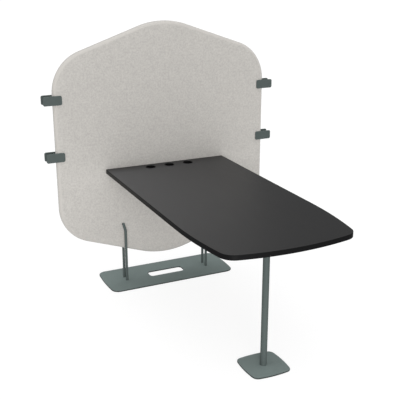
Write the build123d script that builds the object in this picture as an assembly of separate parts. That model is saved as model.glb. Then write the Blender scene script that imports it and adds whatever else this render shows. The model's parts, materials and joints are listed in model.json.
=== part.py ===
"""A desk with a privacy screen: an upholstered six-sided screen that stands in bars on a floor
plate, a desk top fixed against its front, and one leg on a floor plate of its own.

The origin is on the floor at the middle of the footprint. +X is to the right of a person who
faces the screen, +Y points from the desk top's free end to the screen, +Z is up. Millimetres.
"""

from build123d import *
from math import sqrt
import os

# Screen: the outline is a hexagon with upright sides, its corners rounded
screen_width = 1340
apex_height = 1610
shoulder_height = 1377
hip_height = 356
toe_height = 122
apex_radius = 465
shoulder_radius = 245
hip_radius = 243
toe_radius = 502
screen_thick = 45
screen_round = 13
cover_thick = 1.5
core_thick = 12
core_inset = 26

# Floor plate of the screen, with a slot in its middle
base_width = 822
base_depth = 321
base_corner = 46
base_bow = 10
plate_thick = 6
plate_ease = 0.8
slot_width = 230
slot_depth = 72
slot_corner = 20
felt_thick = 1.5
felt_inset = 1.5

# Bars: two in front of the screen and two behind it, pressed into its padding
upright_diameter = 16
upright_pitch = 544
upright_press = 4.5
upright_bend_height = 327
upright_bend_radius = 70
upright_bend_angle = 15
upright_top_run = 44
upright_tip_round = 2.5

# Linking clips on the screen's side edges
clip_width = 108
clip_height = 53
clip_thick = 5
clip_corner = 10
clip_ease = 0.8
clip_upper_z = 1171
clip_lower_z = 842
spacer_diameter = 8
clip_screw_pitch = 30
clip_thread_depth = 3.5

# Desk top
desk_height = 740
desk_width = 762
desk_length = 1524
desk_thick = 25
desk_gap = 2
desk_straight = 1046
desk_side_radius = 2080
desk_end_radius = 1350
desk_corner = 78
desk_back_corner = 4
band_thick = 2
laminate_thick = 0.8
band_ease = 1

# Cable outlets in the desk top
outlet_hole = 56
outlet_bore = 50
outlet_flange = 60
outlet_flange_thick = 1.6
outlet_pitch = 121
outlet_setback = 60

# Angles between the desk top and the screen
bracket_x = 250
bracket_width = 80
bracket_reach = 120
bracket_drop = 90
bracket_thick = 5
bracket_bend = 4
bracket_corner = 8
gusset_reach = 80
gusset_drop = 62
bracket_hole_pitch = 44
bracket_bolt_drop = 52
bracket_screw_near = 34
bracket_screw_far = 96

# Leg
leg_diameter = 34
leg_wall = 2
leg_setback = 1245
flange_diameter = 120
flange_thick = 5
flange_screw_circle = 90
flange_screw_count = 4
foot_size = 220
foot_bow = 9
foot_corner = 32
plug_height = 16

# Fasteners
m5_shank = 5
m5_head = 9.6
m6_shank = 6
m6_head = 10
m6_head_height = 5
m6_length = 33
m8_shank = 8
m8_head = 14
m8_head_height = 4.4
m8_length = 30
foot_shank = 10
foot_head = 18
foot_screw_length = 18
upright_screw_head = 15
upright_screw_length = 25
upright_screw_spare = 5
wood_shank = 4.5
wood_head = 9
wood_head_height = 3
wood_length = 21
wood_tip = 4
insert_wall = 1.8
insert_length = 11
upright_screw_low = 262
upright_screw_high = 304

# Clearances
fit_gap = 0.1
press_gap = 0.3
hole_gap = 0.5
overrun = 5

# Places worked out from the sizes
desk_offset = screen_thick / 2 + desk_gap
overall_depth = base_depth / 2 + desk_offset + desk_length
screen_y = overall_depth / 2 - base_depth / 2
desk_back_y = screen_y - desk_offset
leg_y = desk_back_y - leg_setback
plate_top = felt_thick + plate_thick
desk_under = desk_height - desk_thick
upright_x = upright_pitch / 2
upright_y = screen_thick / 2 + upright_diameter / 2 - upright_press
clip_x = screen_width / 2 + spacer_diameter / 2 + hole_gap
board_under = desk_under + laminate_thick
upright_y_ends = {"front": -upright_y, "back": upright_y}
side_signs = {"left": -1, "right": 1}
clip_heights = {"upper": clip_upper_z, "lower": clip_lower_z}


def disc(radius, low, high):
    """An upright cylinder between two heights."""
    return Pos(0, 0, low) * Cylinder(radius, high - low, align=(Align.CENTER, Align.CENTER, Align.MIN))


def facing(direction, x, y, z):
    """The place of something modelled along +Z that is to point along a direction."""
    return Location(Plane(origin=(x, y, z), z_dir=direction))


def group(solids):
    """Several separate solids as one node."""
    return Compound(children=list(solids))


# Screws, modelled with the head's bearing face at zero and the shank along +Z

def cap_screw(shank, head, head_height, length):
    return disc(head / 2, -head_height, 0) + disc(shank / 2, 0, length)


def countersunk_screw(shank, head, length):
    cone = Cone(head / 2, shank / 2, (head - shank) / 2, align=(Align.CENTER, Align.CENTER, Align.MIN))
    return cone + disc(shank / 2, 0, length)


def countersunk_hole(shank, head, depth):
    """The tool that opens a hole for a countersunk screw, with its clearance."""
    wide = head / 2 + fit_gap
    narrow = shank / 2 + fit_gap
    cone = Cone(wide, narrow, wide - narrow, align=(Align.CENTER, Align.CENTER, Align.MIN))
    return cone + disc(narrow, 0, depth) + disc(wide, -overrun, 0)


def wood_screw():
    """A pan head, a shank and a conical tip."""
    body = cap_screw(wood_shank, wood_head, wood_head_height, wood_length - wood_tip)
    tip = Cone(wood_shank / 2, 0, wood_tip, align=(Align.CENTER, Align.CENTER, Align.MIN))
    return body + Pos(0, 0, wood_length - wood_tip) * tip


def wood_screw_hole(head_side):
    """The passage and pilot of a wood screw, open by head_side before its bearing face."""
    return disc(wood_shank / 2 + fit_gap, -head_side, wood_length + fit_gap)


# Outlines

def screen_outline(inset):
    half = screen_width / 2
    corners = [
        (-half, hip_height), (-half, shoulder_height), (0, apex_height),
        (half, shoulder_height), (half, hip_height), (0, toe_height),
    ]
    radii = [hip_radius, shoulder_radius, apex_radius, shoulder_radius, hip_radius, toe_radius]
    face = make_face(FilletPolyline(*corners, radius=radii, close=True))
    return offset(face, -inset) if inset else face


def bowed_plate(width, depth, bow_x, bow_y, corner):
    """A rectangle whose sides bow outwards, with rounded corners. Width and depth are the largest."""
    x = width / 2 - bow_x
    y = depth / 2 - bow_y
    sides = []
    ring = [(-x, -y), (x, -y), (x, y), (-x, y)]
    for i, start in enumerate(ring):
        end = ring[(i + 1) % len(ring)]
        bow = bow_x if start[0] == end[0] else bow_y
        sides.append(SagittaArc(start, end, -bow) if bow else Line(start, end))
    face = make_face(Curve() + sides)
    return fillet(face.vertices(), corner)


def free_corner():
    """The middle of the free corner's arc, which runs on into the side's arc and the end's arc."""
    side = Vector(desk_width / 2 - desk_side_radius, -desk_straight)
    end = Vector(0, desk_end_radius - desk_length)
    to_side = desk_side_radius - desk_corner
    to_end = desk_end_radius - desk_corner
    apart = end - side
    along = (apart.length**2 + to_side**2 - to_end**2) / (2 * apart.length)
    across = sqrt(to_side**2 - along**2)
    ahead = apart.normalized()
    middle = side + ahead * along + Vector(ahead.Y, -ahead.X) * across
    return middle, (middle - side).normalized(), (middle - end).normalized()


def desk_outline(inset):
    """Straight sides that curve in to a bowed free end. The back edge is at zero."""
    half = desk_width / 2 - inset
    middle, to_side, to_end = free_corner()
    side_end = middle + to_side * (desk_corner - inset)
    corner_end = middle + to_end * (desk_corner - inset)
    right = [
        Line((0, -inset), (half, -inset)),
        Line((half, -inset), (half, -desk_straight)),
        TangentArc((half, -desk_straight), side_end, tangent=(0, -1)),
        TangentArc(side_end, corner_end, tangent=(to_side.Y, -to_side.X)),
        TangentArc((0, inset - desk_length), corner_end, tangent=(1, 0)),
    ]
    edges = Curve() + right
    face = make_face(edges + mirror(edges, about=Plane.YZ))
    back = face.vertices().filter_by(lambda v: v.X != 0).sort_by(Axis.Y)[-2:]
    return fillet(back, desk_back_corner - inset)


# Bars

def upright_solid(grow):
    """The right-hand bar on the plane y = 0, or a tool that is larger all over by grow."""
    stem = Line((0, plate_top), (0, upright_bend_height))
    bend = JernArc(stem @ 1, stem % 1, upright_bend_radius, -upright_bend_angle)
    top = Line(bend @ 1, bend @ 1 + (bend % 1) * (upright_top_run + grow))
    path = Plane.XZ * (Curve() + [stem, bend, top])
    section = Pos(0, 0, plate_top) * Circle(upright_diameter / 2 + grow)
    bar = sweep(section, path=path)
    return Pos(upright_x, 0, 0) * bar


def on_side(shape, sign):
    return shape if sign > 0 else mirror(shape, about=Plane.YZ)


def upright_beds(grow):
    """What the four bars press out of the screen's padding."""
    tool = upright_solid(press_gap + grow)
    return [
        on_side(Pos(0, y, 0) * tool, sign)
        for y in upright_y_ends.values()
        for sign in side_signs.values()
    ]


def upright_screw_places():
    return [
        facing((0, -1, 0), sign * upright_x, upright_y + upright_diameter / 2 - m6_head_height, z)
        for sign in side_signs.values()
        for z in (upright_screw_low, upright_screw_high)
    ]


def make_upright(end, sign):
    bar = upright_solid(0)
    tip = bar.edges().filter_by(GeomType.CIRCLE).sort_by(Axis.Z)[-1]
    bar = fillet(tip, upright_tip_round)
    thread_end = felt_thick + upright_screw_length + upright_screw_spare
    thread = disc(m8_shank / 2 + fit_gap, plate_top - overrun, thread_end)
    bar -= Pos(upright_x, 0, 0) * thread
    bar = on_side(Pos(0, upright_y_ends[end], 0) * bar, sign)
    if end == "back":
        reach = upright_diameter + overrun
        passage = disc(m6_shank / 2 + fit_gap, -overrun, reach)
        passage += disc(m6_head / 2 + fit_gap, -m6_head_height - overrun, 0)
        for place in upright_screw_places():
            bar -= place * passage
    return bar


# Screen

def padded_slab(inset):
    """The screen's soft outer form, or the same form smaller all over by inset."""
    face = Plane.XZ * screen_outline(inset)
    slab = extrude(face, amount=screen_thick / 2 - inset, both=True)
    rims = slab.faces().filter_by(Axis.Y).edges()
    return fillet(rims, screen_round - inset)


def bracket_bolt_places():
    z = desk_under - bracket_bolt_drop
    y = -screen_thick / 2 - bracket_thick
    return [
        facing((0, 1, 0), sign * bracket_x + share * bracket_hole_pitch / 2, y, z)
        for sign in side_signs.values()
        for share in (-1, 1)
    ]


def insert_radius(shank):
    return shank / 2 + fit_gap + insert_wall


def insert_places():
    """Where each screw enters the board, with the radius of its shank."""
    front = [(place * Pos(0, 0, bracket_thick + (screen_thick - core_thick) / 2), m8_shank)
             for place in bracket_bolt_places()]
    upright_reach = upright_y + upright_diameter / 2 - m6_head_height - core_thick / 2
    back = [(place * Pos(0, 0, upright_reach), m6_shank) for place in upright_screw_places()]
    return front + back


def screw_passages():
    """Open ways through the padding for the bolts in front and the bar screws behind."""
    depth = (screen_thick - core_thick) / 2 + overrun
    return [place * disc(insert_radius(shank), -depth, 0) for place, shank in insert_places()]


def make_core():
    core = extrude(Plane.XZ * screen_outline(core_inset), amount=core_thick / 2, both=True)
    for place, shank in insert_places():
        core -= place * disc(insert_radius(shank) + fit_gap, -overrun, insert_length + fit_gap)
    return core


def make_inserts():
    inserts = []
    for place, shank in insert_places():
        sleeve = disc(insert_radius(shank), 0, insert_length)
        sleeve -= disc(shank / 2 + fit_gap, -overrun, insert_length + overrun)
        inserts.append(place * sleeve)
    return group(inserts)


def make_padding():
    """The foam halves around the board, and the cover's halves around the foam."""
    foam = padded_slab(cover_thick)
    cover = padded_slab(0) - foam
    cover -= upright_beds(0)
    dented = [bed & foam for bed in upright_beds(cover_thick)]
    lining = []
    for dent, bed in zip(dented, upright_beds(0)):
        lining.append(dent - bed)
    foam -= upright_beds(cover_thick)
    foam -= extrude(Plane.XZ * screen_outline(core_inset), amount=core_thick / 2, both=True)
    foam -= screw_passages()
    cover += lining
    cover -= screw_passages()
    halves = {}
    for end, keep in (("front", Keep.TOP), ("back", Keep.BOTTOM)):
        halves["pad_" + end] = split(foam, bisect_by=Plane.XZ, keep=keep)
        halves["cover_" + end] = split(cover, bisect_by=Plane.XZ, keep=keep)
    return halves


# Floor plate of the screen

def base_screw_places():
    return [
        facing((0, 0, 1), sign * upright_x, y, felt_thick)
        for sign in side_signs.values()
        for y in upright_y_ends.values()
    ]


def make_base_plate():
    face = bowed_plate(base_width, base_depth, base_bow, 0, base_corner)
    face -= RectangleRounded(slot_width, slot_depth, slot_corner)
    plate = Pos(0, 0, felt_thick) * extrude(face, amount=plate_thick)
    plate = chamfer(plate.faces().sort_by(Axis.Z)[-1].edges(), plate_ease)
    for place in base_screw_places():
        plate -= place * countersunk_hole(m8_shank, upright_screw_head, plate_thick + overrun)
    return plate


def make_base_felt():
    inset = 2 * felt_inset
    face = bowed_plate(base_width - inset, base_depth - inset, base_bow, 0, base_corner - felt_inset)
    face -= RectangleRounded(slot_width + inset, slot_depth + inset, slot_corner + felt_inset)
    return extrude(face, amount=felt_thick)


# Linking clips

def clip_screw_places(sign, z):
    """Screws run forwards from the back plate's outer face."""
    y = screen_thick / 2 + clip_thick
    return [
        facing((0, -1, 0), sign * clip_x, y, z + share * clip_screw_pitch / 2)
        for share in (-1, 1)
    ]


def clip_plate(y_low, visible):
    """A plate whose lower y is given; the edges of its visible face are eased."""
    face = RectangleRounded(clip_width, clip_height, clip_corner)
    plate = Pos(0, y_low + clip_thick, 0) * extrude(Plane.XZ * face, amount=clip_thick)
    return chamfer(plate.faces().sort_by(Axis.Y)[visible].edges(), clip_ease)


def make_clip_front(sign, z):
    plate = Pos(sign * clip_x, 0, z) * clip_plate(-screen_thick / 2 - clip_thick, 0)
    depth = clip_thick + screen_thick
    for place in clip_screw_places(sign, z):
        plate -= place * disc(m5_shank / 2 + fit_gap, depth - overrun, depth + clip_thread_depth)
    return plate


def make_clip_back(sign, z):
    plate = Pos(sign * clip_x, 0, z) * clip_plate(screen_thick / 2, -1)
    for place in clip_screw_places(sign, z):
        plate -= place * countersunk_hole(m5_shank, m5_head, clip_thick + overrun)
    return plate


def all_clip_screw_places():
    return [
        place
        for sign in side_signs.values()
        for z in clip_heights.values()
        for place in clip_screw_places(sign, z)
    ]


def make_clip_spacers():
    sleeve = disc(spacer_diameter / 2, 0, screen_thick)
    sleeve -= disc(m5_shank / 2 + fit_gap, -overrun, screen_thick + overrun)
    return group(place * Pos(0, 0, clip_thick) * sleeve for place in all_clip_screw_places())


def make_clip_screws():
    length = clip_thick + screen_thick + clip_thread_depth - hole_gap
    return group(
        place * countersunk_screw(m5_shank, m5_head, length) for place in all_clip_screw_places()
    )


# Desk top, modelled from its back edge at y = 0

def outlet_places():
    return {
        name: Pos(share * outlet_pitch, -outlet_setback, 0)
        for name, share in (("left", -1), ("middle", 0), ("right", 1))
    }


def flange_screw_places():
    """Wood screws that hold the leg's flange, driven up into the board."""
    circle = PolarLocations(flange_screw_circle / 2, flange_screw_count, start_angle=45)
    return [Pos(0, -leg_setback, desk_under - flange_thick) * place for place in circle]


def bracket_screw_places():
    """Wood screws that hold the angles, driven up into the board."""
    return [
        Pos(sign * bracket_x + share * bracket_hole_pitch / 2, desk_gap - y, desk_under - bracket_thick)
        for sign in side_signs.values()
        for share in (-1, 1)
        for y in (bracket_screw_near, bracket_screw_far)
    ]


def desk_layer(low, high):
    """One layer of the desk top inside its edge band, with the outlets' holes."""
    layer = Pos(0, 0, low) * extrude(desk_outline(band_thick), amount=high - low)
    for place in outlet_places().values():
        layer -= place * disc(outlet_hole / 2, low - overrun, high + overrun)
    for place in flange_screw_places() + bracket_screw_places():
        layer -= place * wood_screw_hole(overrun)
    return layer


def make_edge_band():
    band = extrude(desk_outline(0) - desk_outline(band_thick), amount=desk_thick)
    outer = [
        face.outer_wire().edges()
        for face in band.faces().filter_by(Axis.Z)
    ]
    band = chamfer(outer[0] + outer[1], band_ease)
    return Pos(0, 0, desk_under) * band


def make_outlet(place):
    """A tube with a thin flange that lies on the desk top."""
    liner = disc(outlet_hole / 2 - fit_gap, desk_under, desk_height)
    flange = disc(outlet_flange / 2, desk_height, desk_height + outlet_flange_thick)
    flange = chamfer(flange.edges().sort_by(Axis.Z)[-1], outlet_flange_thick / 2)
    liner += flange
    liner -= disc(outlet_bore / 2, desk_under - overrun, desk_height + overrun)
    return place * liner


def make_bracket(sign):
    """An angle with a welded gusset. Its upright leg lies on the screen's cover."""
    top = desk_under
    y0 = desk_gap
    profile = make_face(Polyline(
        (y0, top), (y0 - bracket_reach, top), (y0 - bracket_reach, top - bracket_thick),
        (y0 - bracket_thick, top - bracket_thick), (y0 - bracket_thick, top - bracket_drop),
        (y0, top - bracket_drop), close=True,
    ))
    inner = profile.vertices().sort_by_distance((y0 - bracket_thick, top - bracket_thick, 0))[0]
    profile = fillet(inner, bracket_bend)
    outer = profile.vertices().sort_by_distance((y0, top, 0))[0]
    profile = fillet(outer, bracket_bend + bracket_thick)
    angle = extrude(Plane.YZ * profile, amount=bracket_width / 2, both=True)
    ends = angle.edges().filter_by(Axis.Z).filter_by(lambda e: e.center().Y < y0 - bracket_reach + fit_gap)
    lows = angle.edges().filter_by(Axis.Y).filter_by(lambda e: e.center().Z < top - bracket_drop + fit_gap)
    angle = fillet(ends + lows, bracket_corner)
    gusset = make_face(Polyline(
        (y0 - bracket_thick, top - bracket_thick), (y0 - bracket_thick - gusset_reach, top - bracket_thick),
        (y0 - bracket_thick, top - bracket_thick - gusset_drop), close=True,
    ))
    angle += extrude(Plane.YZ * gusset, amount=bracket_thick / 2, both=True)
    return Pos(sign * bracket_x, 0, 0) * angle


def drilled_bracket(sign):
    """The angle with the holes of its screws, in the desk's own place."""
    bracket = Pos(0, desk_back_y, 0) * make_bracket(sign)
    for place in bracket_screw_places():
        bracket -= Pos(0, desk_back_y, 0) * place * wood_screw_hole(overrun)
    for place in bracket_bolt_places():
        hole = disc(m8_shank / 2 + hole_gap, -overrun, bracket_thick + overrun)
        bracket -= Pos(0, screen_y, 0) * place * hole
    return bracket


# Leg

def make_leg_tube():
    tube = disc(leg_diameter / 2, plate_top, desk_under - flange_thick)
    return tube - disc(leg_diameter / 2 - leg_wall, plate_top - overrun, desk_under)


def make_leg_flange():
    flange = disc(flange_diameter / 2, desk_under - flange_thick, desk_under)
    for place in flange_screw_places():
        flange -= Pos(0, leg_setback, 0) * place * wood_screw_hole(overrun)
    return flange


def make_leg_plug():
    plug = disc(leg_diameter / 2 - leg_wall - fit_gap, plate_top, plate_top + plug_height)
    return plug - disc(foot_shank / 2 + fit_gap, plate_top - overrun, plate_top + plug_height + overrun)


def make_foot_plate():
    face = bowed_plate(foot_size, foot_size, foot_bow, foot_bow, foot_corner)
    plate = Pos(0, 0, felt_thick) * extrude(face, amount=plate_thick)
    plate = chamfer(plate.faces().sort_by(Axis.Z)[-1].edges(), plate_ease)
    return plate - Pos(0, 0, felt_thick) * countersunk_hole(foot_shank, foot_head, plate_thick + overrun)


def make_foot_felt():
    size = foot_size - 2 * felt_inset
    return extrude(bowed_plate(size, size, foot_bow, foot_bow, foot_corner - felt_inset), amount=felt_thick)


# Assembly

def build():
    at_screen = Pos(0, screen_y, 0)
    at_desk = Pos(0, desk_back_y, 0)
    at_leg = Pos(0, leg_y, 0)
    parts = {
        "screen_core": at_screen * make_core(),
        "core_inserts": at_screen * make_inserts(),
        "base_plate": at_screen * make_base_plate(),
        "base_felt": at_screen * make_base_felt(),
        "connector_spacers": at_screen * make_clip_spacers(),
        "connector_screws": at_screen * make_clip_screws(),
        "desk_board": at_desk * desk_layer(board_under, desk_height - laminate_thick),
        "desk_top_laminate": at_desk * desk_layer(desk_height - laminate_thick, desk_height),
        "desk_under_laminate": at_desk * desk_layer(desk_under, board_under),
        "desk_edge_band": at_desk * make_edge_band(),
        "leg_tube": at_leg * make_leg_tube(),
        "leg_top_flange": at_leg * make_leg_flange(),
        "leg_bottom_plug": at_leg * make_leg_plug(),
        "leg_foot_plate": at_leg * make_foot_plate(),
        "foot_felt": at_leg * make_foot_felt(),
    }
    for name, half in make_padding().items():
        parts[name] = at_screen * half
    for side, sign in side_signs.items():
        for end in upright_y_ends:
            parts[f"upright_{end}_{side}"] = at_screen * make_upright(end, sign)
        for level, z in clip_heights.items():
            parts[f"connector_front_{level}_{side}"] = at_screen * make_clip_front(sign, z)
            parts[f"connector_back_{level}_{side}"] = at_screen * make_clip_back(sign, z)
        parts[f"desk_bracket_{side}"] = drilled_bracket(sign)
    for name, place in outlet_places().items():
        parts[f"cable_outlet_{name}"] = at_desk * make_outlet(place)
    upright_screw = countersunk_screw(m8_shank, upright_screw_head, upright_screw_length)
    parts["upright_base_screws"] = group(at_screen * place * upright_screw for place in base_screw_places())
    m6 = cap_screw(m6_shank, m6_head, m6_head_height, m6_length)
    parts["upright_screen_screws"] = group(at_screen * place * m6 for place in upright_screw_places())
    m8 = cap_screw(m8_shank, m8_head, m8_head_height, m8_length)
    parts["bracket_screen_bolts"] = group(at_screen * place * m8 for place in bracket_bolt_places())
    parts["bracket_desk_screws"] = group(at_desk * place * wood_screw() for place in bracket_screw_places())
    parts["leg_flange_screws"] = group(at_desk * place * wood_screw() for place in flange_screw_places())
    foot_screw = countersunk_screw(foot_shank, foot_head, foot_screw_length)
    parts["leg_foot_screw"] = at_leg * Pos(0, 0, felt_thick) * foot_screw
    return parts


os.makedirs("parts", exist_ok=True)
for node, shape in build().items():
    export_step(shape, f"parts/{node}.step")
    size = shape.bounding_box()
    print(node, tuple(size.min), tuple(size.max))
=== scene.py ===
"""Finishes, padding, screws, light and camera for a desk with a privacy screen.

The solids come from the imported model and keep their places. The padded screen and the screws are
built here in more detail and stand for their solids. Lengths are in metres. x runs along the
screen, y from the desk top's free end to the screen, z is up from the floor.
"""

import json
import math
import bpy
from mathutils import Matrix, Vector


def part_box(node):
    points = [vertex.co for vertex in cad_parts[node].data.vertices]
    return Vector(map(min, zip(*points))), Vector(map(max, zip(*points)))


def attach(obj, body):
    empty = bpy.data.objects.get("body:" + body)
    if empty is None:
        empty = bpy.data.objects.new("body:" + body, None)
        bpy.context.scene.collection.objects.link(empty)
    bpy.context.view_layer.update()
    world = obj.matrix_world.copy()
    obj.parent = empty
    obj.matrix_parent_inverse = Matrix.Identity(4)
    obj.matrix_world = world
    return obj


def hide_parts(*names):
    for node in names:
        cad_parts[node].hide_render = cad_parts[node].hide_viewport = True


bl_info = {
    "name": "Desk with privacy screen",
    "version": (1, 0, 0),
    "blender": (4, 5, 0),
    "location": "3D View > Sidebar > Desk",
    "description": "Padded screen, screws, finishes, light and camera for a desk with a screen",
    "category": "Add Mesh",
}

import bmesh
import bpy
import numpy as np
from bpy.props import FloatProperty, FloatVectorProperty, PointerProperty
from mathutils import Vector
from mathutils.geometry import delaunay_2d_cdt

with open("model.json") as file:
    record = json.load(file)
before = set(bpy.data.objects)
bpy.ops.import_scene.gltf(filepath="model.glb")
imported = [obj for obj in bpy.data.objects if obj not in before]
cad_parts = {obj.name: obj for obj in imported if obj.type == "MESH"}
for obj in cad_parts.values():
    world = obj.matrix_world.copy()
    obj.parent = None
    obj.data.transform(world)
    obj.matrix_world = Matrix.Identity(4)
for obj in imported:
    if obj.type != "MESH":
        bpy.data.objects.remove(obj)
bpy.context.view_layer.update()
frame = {"nodes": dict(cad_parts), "record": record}

BODY = "root"
MM = 0.001
TURN = 2 * math.pi

# Mesh of the padded screen. Bands are distances from the bars' axes.
OUTLINE_STEP = 0.4 * MM      # between the outline's points
RING_BAND = (0.020, 0.060)   # the seam's ring is fine up to the first, coarse from the second
FINE_BAND = 0.024            # the faces have the fine grid up to here
HALF_BAND = 0.055            # and half of the grid up to here
BORDER_SHARE = 0.45          # of the grid, free beside a face's border
BEND_STEPS = 6
RIM_ANGLES = (14, 25, 36, 47, 58, 69, 80)         # degrees, rings around the rounded edge
RIM_INSETS = (21, 25.5, 31, 37.5, 45, 53.5, 63)   # millimetres, rings on the crowned face

# Shape of the padded screen
SEAM_SIDE = 1.0 * MM         # from the seam to the ring beside it
SEAM_SHARE = 0.35            # of the seam's depth, beside the seam and under the stitches
PUCKER_FADE = 4 * MM         # how fast the puckers die away from the seam
BAR_HOLD = 0.012             # a bar holds the cover down up to here from its axis
HOLD_FADE = 0.030            # the cover is free this far from what holds it down
RIM_SHARE = 0.70             # of the half thickness, the cloth is held up to here
FACE_SHARE = 0.75            # of the half thickness, where the slow waves start
FACE_FADE = 0.20             # of the half thickness, until they are full
SLOW_WAVES = (               # radians per metre along x and z, then the phase
    (11.3, 4.1, 0.7), (-7.9, 13.7, 2.1), (17.1, -6.3, 4.0), (5.2, 19.4, 5.2),
)

# Screws. A dome's points are shares of its head's radius and height.
SCREW_SIDES = 48
ANGLES = np.arange(SCREW_SIDES) * TURN / SCREW_SIDES
BUTTON_DOME = ((0.50, 0), (0.70, 0.10), (0.86, 0.30), (0.96, 0.62), (1, 0.94))
PAN_DOME = ((0.62, 0), (0.82, 0.10), (0.94, 0.32), (1, 0.66))

# Stage, in metres and radians
LAMPS = (                    # name, its power in the panel, width, place, target
    ("front_light", "front", 4.0, (-2.6, -8.7, 1.9), (0, 0.4, 0.8)),
    ("low_fill", "fill", 2.2, (-1.9, -5.2, 0.60), (0, 0.5, 0.4)),
)
CAMERA_PLACE = (-1.6913, -3.4546, 1.9812)
CAMERA_DOWN = 0.3219         # below level
CAMERA_TURN = -0.4363        # from the desk's long axis, to the right
FLOOR_REACH = 80
FLOOR_DROP = 0.2 * MM        # so that no felt lies in the floor's own plane
SEEN_SKY = 1.05              # strength of the sky that the camera sees


# Sizes and colours that a user may change

def distance(name, about, default):
    return FloatProperty(name=name, description=about, default=default, subtype="DISTANCE",
                         unit="LENGTH", precision=4)


def share(name, about, default):
    return FloatProperty(name=name, description=about, default=default, min=0, max=1,
                         subtype="FACTOR")


def amount(name, about, default, **kind):
    return FloatProperty(name=name, description=about, default=default, min=0, **kind)


def colour(name, about, default):
    return FloatVectorProperty(name=name, description=about, default=default, size=3, min=0,
                               max=1, subtype="COLOR")


screen_box = (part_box("cover_front")[0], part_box("cover_back")[1])
bar_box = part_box("upright_front_right")
clip_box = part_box("connector_front_upper_right")


class DeskScreenForm(bpy.types.PropertyGroup):
    """The padded screen's outline and cross-section."""
    middle: distance("Middle plane", "Where the screen's seam lies along y",
                     (screen_box[0].y + screen_box[1].y) / 2)
    thickness: distance("Thickness", "Across the padding, front to back",
                        screen_box[1].y - screen_box[0].y)
    half_width: distance("Half width", "From the middle to a side edge", screen_box[1].x)
    apex_height: distance("Apex height", "Where the two upper slopes would meet", 1.610)
    shoulder_height: distance("Shoulder height", "Where a slope would meet the side", 1.377)
    hip_height: distance("Hip height", "Where the side would meet the lower slope", 0.356)
    toe_height: distance("Toe height", "Where the two lower slopes would meet", 0.122)
    apex_radius: distance("Apex radius", "Rounding of the top", 0.465)
    shoulder_radius: distance("Shoulder radius", "Rounding of the upper corners", 0.245)
    hip_radius: distance("Hip radius", "Rounding of the lower corners", 0.243)
    toe_radius: distance("Toe radius", "Rounding of the bottom", 0.502)
    edge_round: distance("Edge rounding", "Radius from the face into the edge", 0.0215)
    crown_reach: distance("Crown reach", "How far in from the edge the face still curves", 0.048)
    crown: share("Crown", "How much thinner the padding is at the edge", 0.10)
    seam_depth: distance("Seam depth", "How deep the seam pulls in", 0.0014)
    pucker: distance("Pucker", "Waves that the seam draws into the cover", 0.00025)
    pucker_pitch: distance("Pucker pitch", "From one wave to the next", 0.019)
    unevenness: distance("Unevenness", "Slow waves of the foam under the cover", 0.0004)
    puff: distance("Puff", "The most that the settled cover may move", 0.0012)
    stitch_pitch: distance("Stitch pitch", "From one stitch to the next", 0.0052)
    stitch_length: distance("Stitch length", "The part of a stitch that shows", 0.0038)
    stitch_width: distance("Stitch width", "Thickness of the thread", 0.0008)
    stitch_line: distance("Stitch line", "From the seam to each row of stitches", 0.0030)
    grid: distance("Grid", "Spacing of the cover's mesh", 0.013)
    fine_grid: distance("Fine grid", "Spacing of the mesh beside the bars", 0.0028)
    bend_height: distance("Bend height", "Where the bars start to bend outwards", 0.327)
    bend_radius: distance("Bend radius", "Of the bars' axis", 0.070)
    bend_angle: FloatProperty(name="Bend angle", description="How far the bars' tops lean out",
                              default=math.radians(15), subtype="ANGLE")
    top_run: distance("Top run", "Straight part of a bar above its bend", 0.044)
    bed_gap: distance("Bed gap", "Between a bar and the cover that it presses in", 0.0003)


class DeskScrews(bpy.types.PropertyGroup):
    """Sizes of the screws that the solids leave plain."""
    cap_height: distance("Cap head height", "Bar screws", 0.005)
    cap_shank: distance("Cap screw shank", "Its radius", 0.003)
    button_height: distance("Button head height", "Bolts of the desk's angles", 0.0044)
    button_shank: distance("Bolt shank", "Its radius", 0.004)
    sunk_shank: distance("Countersunk shank", "Radius of the clips' screws", 0.0025)
    pan_height: distance("Pan head height", "Wood screws under the desk top", 0.003)
    pan_shank: distance("Wood screw shank", "Its radius", 0.00225)
    pan_tip: distance("Wood screw tip", "Length of its point", 0.004)
    ease: distance("Ease", "Rounding of a head's edges", 0.0004)
    knurl: distance("Knurl", "Depth of the grip on a cap head", 0.00012)


class DeskFinishes(bpy.types.PropertyGroup):
    """The colours of the finishes."""
    wool: colour("Wool", "The screen's fabric", (0.418, 0.402, 0.379))
    wool_dark: colour("Dark fibres", "The darker fibres in the fabric", (0.339, 0.327, 0.309))
    coat: colour("Powder coat", "Floor plates, bars and leg", (0.074, 0.0905, 0.0875))
    # Painted shade: a darker copy of the plates' coat, for the clips' sideways faces.
    clip_coat_shaded: colour("Clip coat", "The linking clips", (0.067, 0.082, 0.079))
    bracket_coat: colour("Bracket coat", "Angles under the desk top", (0.013, 0.013, 0.014))
    laminate: colour("Laminate", "The desk top's faces", (0.0036, 0.0036, 0.0040))
    # Painted reflection: a lighter colour standing for the lit screen's reflection on the desk top.
    painted_reflection: colour("Film", "Dust on the desk top where no arm wipes it off", (0.050, 0.051, 0.054))
    edging: colour("Edging", "The desk top's edge band", (0.0045, 0.0045, 0.0048))
    moulding: colour("Moulding", "Outlets", (0.0035, 0.0035, 0.0037))
    zinc: colour("Zinc", "Screws and sleeves", (0.52, 0.53, 0.54))
    felt: colour("Felt", "Under the floor plates", (0.035, 0.035, 0.036))


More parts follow.
